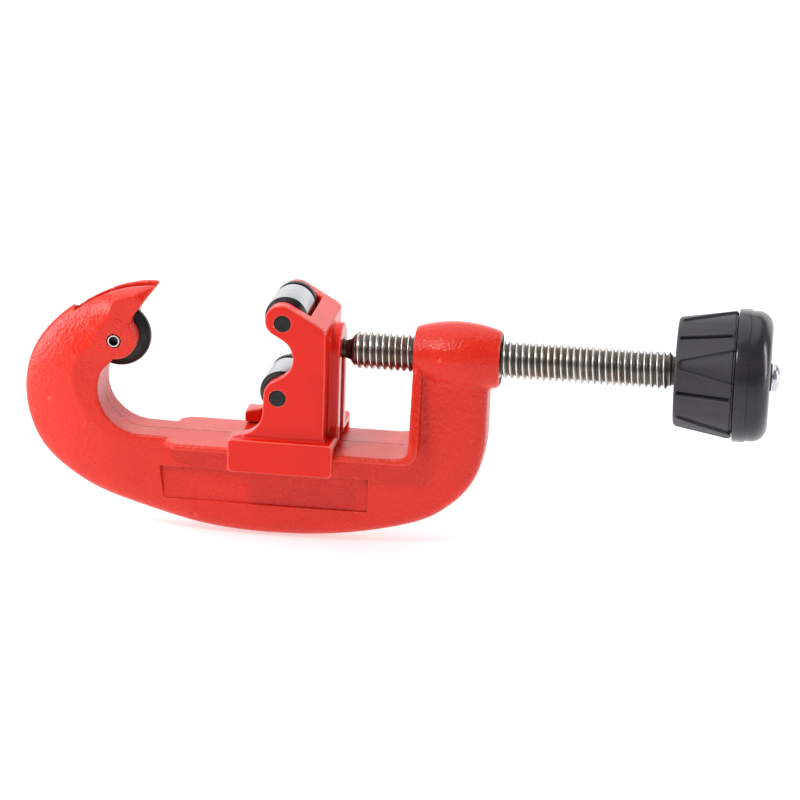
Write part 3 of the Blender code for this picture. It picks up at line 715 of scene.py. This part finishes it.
def wheel_pin():
    """Tube-ended pin: a bright rim round a deep cup; the cup's dark inside is painted shade."""
    r = span("wheel_pin")[1].x
    front, back = 0.1 - BODY_HALF, span("wheel_pin")[1].y
    profile = [(front + 2.2, 0.0), (front + 2.1, 1.0), (front + 1.6, 1.38), (front + 0.25, 1.42),
               (front + 0.05, 1.5), (front, r - 0.35), (front + 0.05, r - 0.14), (front + 0.3, r),
               (10.0, r), (10.0, r - 0.5), (10.7, r - 0.5), (10.7, r), (back - 0.3, r),
               (back, r - 0.3), (back, 0.0)]
    return lathe("tubular_pin", profile, "Y", AXIS, 64, 40)


def roller(name, centre):
    """Ring with a wide ground band, a groove towards the back and a narrow back ring."""
    h, r = ROLLER_HALF, ROLLER_R
    profile = [(-h, 3.0), (-h, r - 1.5), (0.12 - h, r - 1.15), (1.3 - h, r - 0.2),
               (1.55 - h, r - 0.06), (1.9 - h, r), (5.9, r), (6.1, r - 0.12), (6.3, r - 0.9),
               (6.5, r - 1.0), (7.7, r - 1.0), (7.9, r - 0.9), (8.1, r - 0.16), (8.3, r - 0.04),
               (9.3, r - 0.04), (9.38, r - 0.16), (9.46, r - 0.04), (h - 0.5, r - 0.06),
               (h - 0.15, r - 0.2), (h, r - 0.5), (h, 3.0)]
    return lathe(name, profile, "Y", centre, 128, 30)


def roller_pin(name, centre):
    """Pin with rounded, slightly dished ends."""
    h = span("upper_roller_pin")[1].y
    r = ROLLER_PIN_R
    half = [(-h + 0.12, 0.0), (-h + 0.05, r * 0.7), (-h, r - 0.35), (-h + 0.12, r - 0.1),
            (-h + 0.4, r)]
    profile = half + [(-a, q) for a, q in reversed(half)]
    return lathe(name, profile, "Y", centre, 64, 40)


def spindle_thread():
    """Helical rolled thread, its ends trimmed by a turned envelope and closed."""
    columns = 72
    root_r = THREAD_R - 1.22
    first, run_in, last, chamfer = 74.2, 75.7, 175.5, 1.2
    # one pitch: crest flat, flank, rounded root, flank
    shape = [(0.00, THREAD_R), (0.05, THREAD_R), (0.09, THREAD_R - 0.04), (0.40, root_r + 0.12),
             (0.46, root_r), (0.54, root_r), (0.60, root_r + 0.12), (0.91, THREAD_R - 0.04),
             (0.95, THREAD_R)]

    def envelope(x):
        if x < run_in:
            return 3.0 + (x - first) * 1.35
        if x > last - chamfer:
            return THREAD_R - (x - last + chamfer)
        return min(THREAD_R, 5.02 + (x - run_in))

    rows, verts = [], []
    turn = 0
    while first + (turn - 2) * THREAD_PITCH < last:
        for share, r in shape:
            row = []
            for k in range(columns + 1):
                x = first + (turn - 1 + share + k / columns) * THREAD_PITCH
                radius = min(r, envelope(min(max(x, first), last)))
                x = min(max(x, first), last)
                a = 2.0 * math.pi * k / columns
                row.append(len(verts))
                verts.append((x, radius * math.cos(a), radius * math.sin(a)))
            rows.append(row)
        turn += 1
    faces = []
    for one, two in zip(rows, rows[1:]):
        for k in range(columns):
            faces.append((one[k], one[k + 1], two[k + 1], two[k]))
    thread = add("spindle_thread", verts, faces)
    shell = bmesh.new()
    shell.from_mesh(thread.data)
    bmesh.ops.remove_doubles(shell, verts=shell.verts, dist=2e-6)
    bmesh.ops.dissolve_degenerate(shell, edges=shell.edges, dist=2e-6)
    bmesh.ops.holes_fill(shell, edges=[e for e in shell.edges if e.is_boundary])
    bmesh.ops.recalc_face_normals(shell, faces=shell.faces)
    shell.to_mesh(thread.data)
    shell.free()
    shade(thread, 40)
    return thread


def spindle_ends():
    """Head and neck in the slide's slot, and the plain tail inside the knob."""
    x0 = SPINDLE_LOW.x
    head = lathe("spindle_head", rounded([(x0, 0.0), (x0, 5.2), (69.3, 5.2), (69.3, 2.85),
                                          (73.2, 2.85), (74.6, 3.4), (75.5, 4.4), (75.5, 0.0)],
                                         0.35), "X", AXIS, 64)
    tail = lathe("spindle_tail", [(175.4, 0.0), (175.4, 4.5), (194.6, 4.5), (195.0, 4.1),
                                  (195.0, 2.2), (184.0, 2.2), (184.0, 0.0)], "X",
                 AXIS, 64)
    return head, tail


def nut_ring():
    low, high = span("spindle_nut")
    profile = rounded([(low.x, 6.3), (low.x, high.y), (high.x, high.y), (high.x, 7.0),
                       (high.x - 0.7, 6.3), (low.x, 6.3)], 0.15, 3)
    return lathe("nut_ring", profile[:-1], "X", AXIS, 96)


# =============================== the knob ===============================
KNOB_GROOVES = 6
GROOVE_PHASE = math.radians(-6.8)


def round_mm(degrees, radius):
    """Length of an arc."""
    return degrees * math.radians(1.0) * radius


def knob_radius(t, angle):
    """Radius at share t of the knob's length: cone, grooves, wedge-shaped scoops between."""
    small, large = 16.8, 19.95
    radius = small + (large - small) * t
    pitch = 360.0 / KNOB_GROOVES
    off = math.degrees(angle - GROOVE_PHASE) % pitch
    from_groove = round_mm(min(off, pitch - off), radius)
    groove_ends = ramp01(t, 0.045, 0.080) * (1.0 - ramp01(t, 0.925, 0.950))
    radius -= 1.3 * groove_ends * (1.0 - ramp01(from_groove, 0.22, 0.68))
    # a low rim runs along both walls of a groove
    rim = ramp01(from_groove, 0.55, 0.80) * (1.0 - ramp01(from_groove, 0.95, 1.35))
    radius += 0.16 * rim * ramp01(t, 0.03, 0.06) * (1.0 - ramp01(t, 0.94, 0.96))
    # scoop: rounded tip near the small end, then a steadily widening wedge
    across = round_mm(abs(off - pitch / 2.0), radius)
    reach = min(1.0, max(0.0, (t - 0.040) / 0.075))
    half_width = (1.05 + 4.5 * t) * math.sqrt(1.0 - (1.0 - reach) ** 2)
    if reach > 0.0:
        step = 1.0 - ramp01(across, half_width - 0.22, half_width + 0.08)
        lip = ramp01(across, half_width - 0.05, half_width + 0.15)
        lip *= 1.0 - ramp01(across, half_width + 0.25, half_width + 0.60)
        crown = 0.22 * (1.0 - min(1.0, across / max(half_width, 0.3)) ** 2)
        radius += 0.12 * lip * reach - (0.72 - crown) * step * reach
    # the lands between groove and scoop have rounded ends just before the cap
    share = across / round_mm(pitch / 2.0, radius)
    edge = half_width / round_mm(pitch / 2.0, radius)
    land = (share - edge) / max(0.05, 0.93 - edge)
    bulge = math.sqrt(max(0.0, 1.0 - (2.0 * land - 1.0) ** 2)) if 0.0 < land < 1.0 else 0.0
    end = 0.960 + 0.016 * bulge
    radius -= 0.45 * ramp01(t, end, end + 0.008)
    return radius


def knob_body():
    x0, x1 = KNOB_LOW.x, KNOB_HIGH.x
    columns = 780
    # rows along the knob, denser where scoops and grooves begin and end
    shares = [0.03 + 0.94 * k / 60 for k in range(61)]
    shares += [0.035 + 0.005 * k for k in range(20)] + [0.92 + 0.004 * k for k in range(18)]
    shares = sorted(set(round(s, 4) for s in shares))
    verts, rows = [], []

    def ring(x, radius_at):
        row = []
        for k in range(columns):
            a = 2.0 * math.pi * k / columns
            r = radius_at(a)
            row.append(len(verts))
            verts.append((x, -r * math.cos(a), r * math.sin(a)))
        rows.append(row)

    bore = 4.9
    ring(x0 + 2.0, lambda a: bore)
    ring(x0 + 0.3, lambda a: bore)
    ring(x0, lambda a: bore + 0.3)
    ring(x0, lambda a: 12.0)
    for inset, lift in ((1.0, 0.0), (0.62, 0.08), (0.28, 0.3), (0.08, 0.62)):
        ring(x0 + lift * 0.9, lambda a: knob_radius(0.03, a) - inset)
    for share in shares:
        ring(x0 + (x1 - x0) * share, lambda a: knob_radius(share, a))
    ring(x1, lambda a: knob_radius(1.0, a))
    ring(x1, lambda a: 14.0)
    ring(x1 - 1.0, lambda a: 12.0)
    faces = bridge(rows, closed=True)
    return add("knob_grip", verts, faces, 30)


def knob_cap():
    r = CAP_HIGH.y
    x0, x1 = CAP_LOW.x, CAP_HIGH.x
    band, step, dome = x0 + 4.0, 0.38, 5.0
    outer = [(x0, r - 1.2), (x0, r - 0.35), (x0 + 0.12, r - 0.1), (x0 + 0.4, r),
             (band - 0.35, r), (band - 0.1, r - 0.08), (band, r - 0.25), (band + 0.05, r - step)]
    outer += arc((x1 - dome, r - step - dome), dome, 88, 0, 22)
    outer += [(x1, 12.0), (x1 - 0.02, 9.6), (x1 - 0.15, 9.2), (x1 - 0.5, 8.7),
              (x1 - 0.6, 8.2), (x1 - 0.6, 2.2)]
    inner = [(x1 - 2.0, 2.2), (x1 - 2.0, 12.5), (x0, 14.5)]
    return lathe("knob_end_cap", outer + inner, "X", AXIS, 192, 30)


def cap_screw():
    head, r = span("cap_washer")[1].x + 0.3, SCREW_HIGH.y
    end = SCREW_HIGH.x
    profile = [(SCREW_LOW.x, 0.0), (SCREW_LOW.x, 1.5), (SCREW_LOW.x + 0.4, 1.85), (head, 1.85),
               (head, r - 0.1), (head + 0.1, r), (head + 0.55, r)]
    depth = end - head - 0.55
    for k in range(1, 15):
        a = math.radians(90.0 * k / 15)
        profile.append((head + 0.55 + depth * math.sin(a), r * math.cos(a) ** 0.75))
    profile.append((end, 0.0))
    screw = lathe("chrome_screw", profile, "X", AXIS, 96, 40)
    arm, width, floor = 2.2, 0.5, head + 0.9
    cross = [(-width, -arm), (width, -arm), (width, -width), (arm, -width), (arm, width),
             (width, width), (width, arm), (-width, arm), (-width, width), (-arm, width),
             (-arm, -width), (-width, -width)]
    combine(screw, prism("cross", cross, floor, end + 5.0, along="X"))
    shade(screw, 40)
    return screw


# =============================== assembly ===============================
def dress(obj, material, body, node):
    obj.data.materials.clear()
    obj.data.materials.append(material)
    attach(obj, body)
    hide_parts(node)
    return obj


def build_object():
    red = paint("cast_red", (0.73, 0.019, 0.006), pale=(0.93, 0.16, 0.09), roughness=0.29,
                peel_mm=0.85, peel_depth=0.22, level=0.35, edge_wear_and_highlight=0.40, fleck=0.08, seam=True)
    gloss = paint("slide_red", (0.74, 0.012, 0.004), pale=(1.0, 0.34, 0.26), roughness=0.20,
                  peel_mm=1.4, peel_depth=0.035, level=0.26, edge_wear_and_highlight=0.75, fleck=0.0, seam=False)
    dress(frame_casting(), red, "frame_body", "frame")
    dress(slide_casting(), gloss, "slide_body", "roller_slide")
    dress(cutter_wheel(), black_oxide("wheel_black", AXIS, "Y", WHEEL_R), "wheel_body",
          "cutter_wheel")
    pin = dress(wheel_pin(), turned_metal("pin_zinc", (0.62, 0.62, 0.64), 0.34, AXIS, "Y"),
                "frame_body", "wheel_pin")
    # the cup's inside gets near-black material: painted shade of the deep hollow
    two_tone(pin, black_oxide("pin_cup_painted_shade", AXIS, "Y"),
             lambda p: p.y < 2.5 - BODY_HALF and math.hypot(p.x, p.z) < 1.47)
    for level, middle_of in ROLLERS.items():
        centre = tuple(middle_of)
        steel = turned_metal(level + "_band", (0.42, 0.42, 0.44), 0.25, centre, "Y", 0.12, 0.006)
        dark = black_oxide(level + "_ends", centre, "Y")
        piece = dress(roller(level + "_grooved_roller", centre), steel, level + "_roller_body",
                      level + "_roller")
        two_tone(piece, dark, lambda p: p.y < 1.6 - ROLLER_HALF or p.y > 6.05)
        dress(roller_pin(level + "_black_pin", centre),
              black_oxide(level + "_pin_black", centre, "Y"), "slide_body",
              level + "_roller_pin")
    thread = spindle_thread()
    head, tail = spindle_ends()
    steel = thread_steel("oiled_thread")
    plain = turned_metal("oiled_neck", (0.075, 0.068, 0.060), 0.34, AXIS, "X", 0.3, 0.02)
    dress(thread, steel, "spindle_body", "spindle")
    dress(head, plain, "spindle_body", "spindle")
    dress(tail, plain, "spindle_body", "spindle")
    dress(nut_ring(), black_oxide("nut_black", AXIS, "X"), "frame_body", "spindle_nut")
    dress(knob_body(), plastic("grip_plastic", (0.026, 0.023, 0.030), 0.50, 0.40, 0.12, 0.0, 0.45),
          "spindle_body", "knob_body")
    dress(knob_cap(), plastic("cap_plastic", (0.018, 0.016, 0.021), 0.24, 0.9, 0.01, 0.06, 0.34),
          "spindle_body", "knob_cap")
    dress(cap_screw(), turned_metal("screw_chrome", (0.56, 0.56, 0.60), 0.16, AXIS, "X", 0.4,
                                    0.004), "spindle_body", "cap_screw")
    hidden = turned_metal("hard_steel", (0.40, 0.40, 0.42), 0.30, AXIS, "X")
    for node in ("thrust_disc", "knob_bush", "knob_cross_pin", "spare_wheel_spacer"):
        keep(node, hidden)
    keep("wheel_pin_clip", turned_metal("clip_steel", (0.42, 0.42, 0.44), 0.32, AXIS, "Y"))
    keep("spare_cutter_wheel", black_oxide("spare_black", AXIS, "X", WHEEL_R))
    keep("cap_washer", plastic("washer_fibre", (0.02, 0.02, 0.022), 0.7, 0.3, 0.03, 0.0, 0.4))


def two_tone(obj, second, chosen):
    """Gives a second material to the faces whose tool-frame centre is chosen."""
    obj.data.materials.append(second)
    for face in obj.data.polygons:
        face.material_index = 1 if chosen((face.center - ORIGIN) / MM) else 0


def keep(node, material):
    """A CAD node that stays as it is, with a finished material."""
    obj = frame["nodes"][node]
    obj.data.materials.clear()
    obj.data.materials.append(material)


# =============================== studio ===============================
def area_light(name, place_mm, target_mm, size_mm, power):
    data = bpy.data.lights.new(name, "AREA")
    data.shape = "RECTANGLE"
    data.size, data.size_y = size_mm[0] * MM, size_mm[1] * MM
    data.energy = power
    lamp = new_object(name, data)
    lamp.location = Vector(place_mm) * MM
    aim = (Vector(target_mm) - Vector(place_mm)).to_track_quat("-Z", "Y")
    lamp.rotation_euler = aim.to_euler()
    return lamp


def studio():
    """Pale floor that glows a little, so that only a contact shadow is left, and soft lights."""
    reach = 12.0
    mesh = bpy.data.meshes.new("floor")
    z = cad_bounds[0].z - FLOOR_GAP_MM * MM
    mesh.from_pydata([(-reach, -reach, z), (reach, -reach, z), (reach, reach, z),
                      (-reach, reach, z)], [], [(0, 1, 2, 3)])
    floor = new_object("floor", mesh)
    n = Nodes("floor_paper", (0.86, 0.86, 0.86), 0.75, 0.0)
    speck = n.noise(60.0, detail=3.0)
    mesh.materials.append(n.set(Base_Color=n.mix(speck, (0.61, 0.61, 0.61), (0.59, 0.59, 0.595)),
                                Emission_Color=(1.0, 1.0, 1.0), Emission_Strength=0.56))

    world_data = bpy.data.worlds.new("studio")
    world_data.use_nodes = True
    back = world_data.node_tree.nodes["Background"]
    back.inputs[0].default_value = (1.0, 1.0, 1.0, 1.0)
    back.inputs[1].default_value = 0.32
    bpy.context.scene.world = world_data
    aim = (0.0, 0.0, 45.0)
    area_light("key", (-300.0, -420.0, 620.0), aim, (200.0, 160.0), 2.4)
    area_light("left_strip", (-620.0, -40.0, 240.0), aim, (240.0, 420.0), 2.5)
    area_light("right_strip", (640.0, 40.0, 240.0), aim, (110.0, 420.0), 2.0)
    backdrop = area_light("backdrop", (60.0, 900.0, 330.0), aim, (1800.0, 500.0), 3.4)
    backdrop.visible_camera = False
    sky = bpy.data.lights.new("sky", "SUN")
    sky.energy, sky.angle = 1.25, math.radians(70.0)
    lamp = new_object("sky", sky)
    lamp.rotation_euler = Vector((0.25, -0.35, -1.0)).to_track_quat("-Z", "Y").to_euler()
    bpy.context.scene.view_settings.view_transform = "Standard"


def camera():
    """The photograph's standpoint: a long lens, a little right of square and above."""
    azimuth, elevation, roll = (math.radians(v) for v in (7.15, 17.18, 1.85))
    distance_mm, lens_mm = 1033.4, 147.2
    target = ORIGIN + Vector((90.43, 0.0, -15.68)) * MM
    forward = Vector((-math.sin(azimuth) * math.cos(elevation),
                      math.cos(azimuth) * math.cos(elevation), -math.sin(elevation)))
    level = Vector((math.cos(azimuth), math.sin(azimuth), 0.0))
    upright = level.cross(forward)
    right = level * math.cos(roll) + upright * math.sin(roll)
    up = upright * math.cos(roll) - level * math.sin(roll)
    data = bpy.data.cameras.new("camera")
    data.lens = lens_mm
    data.sensor_width = 36.0
    data.clip_start, data.clip_end = 0.05, 20.0
    cam = new_object("camera", data)
    turn = Matrix((right, up, -forward)).transposed()
    cam.matrix_world = Matrix.Translation(target - forward * distance_mm * MM) @ turn.to_4x4()
    bpy.context.scene.camera = cam


build_object()
studio()
camera()
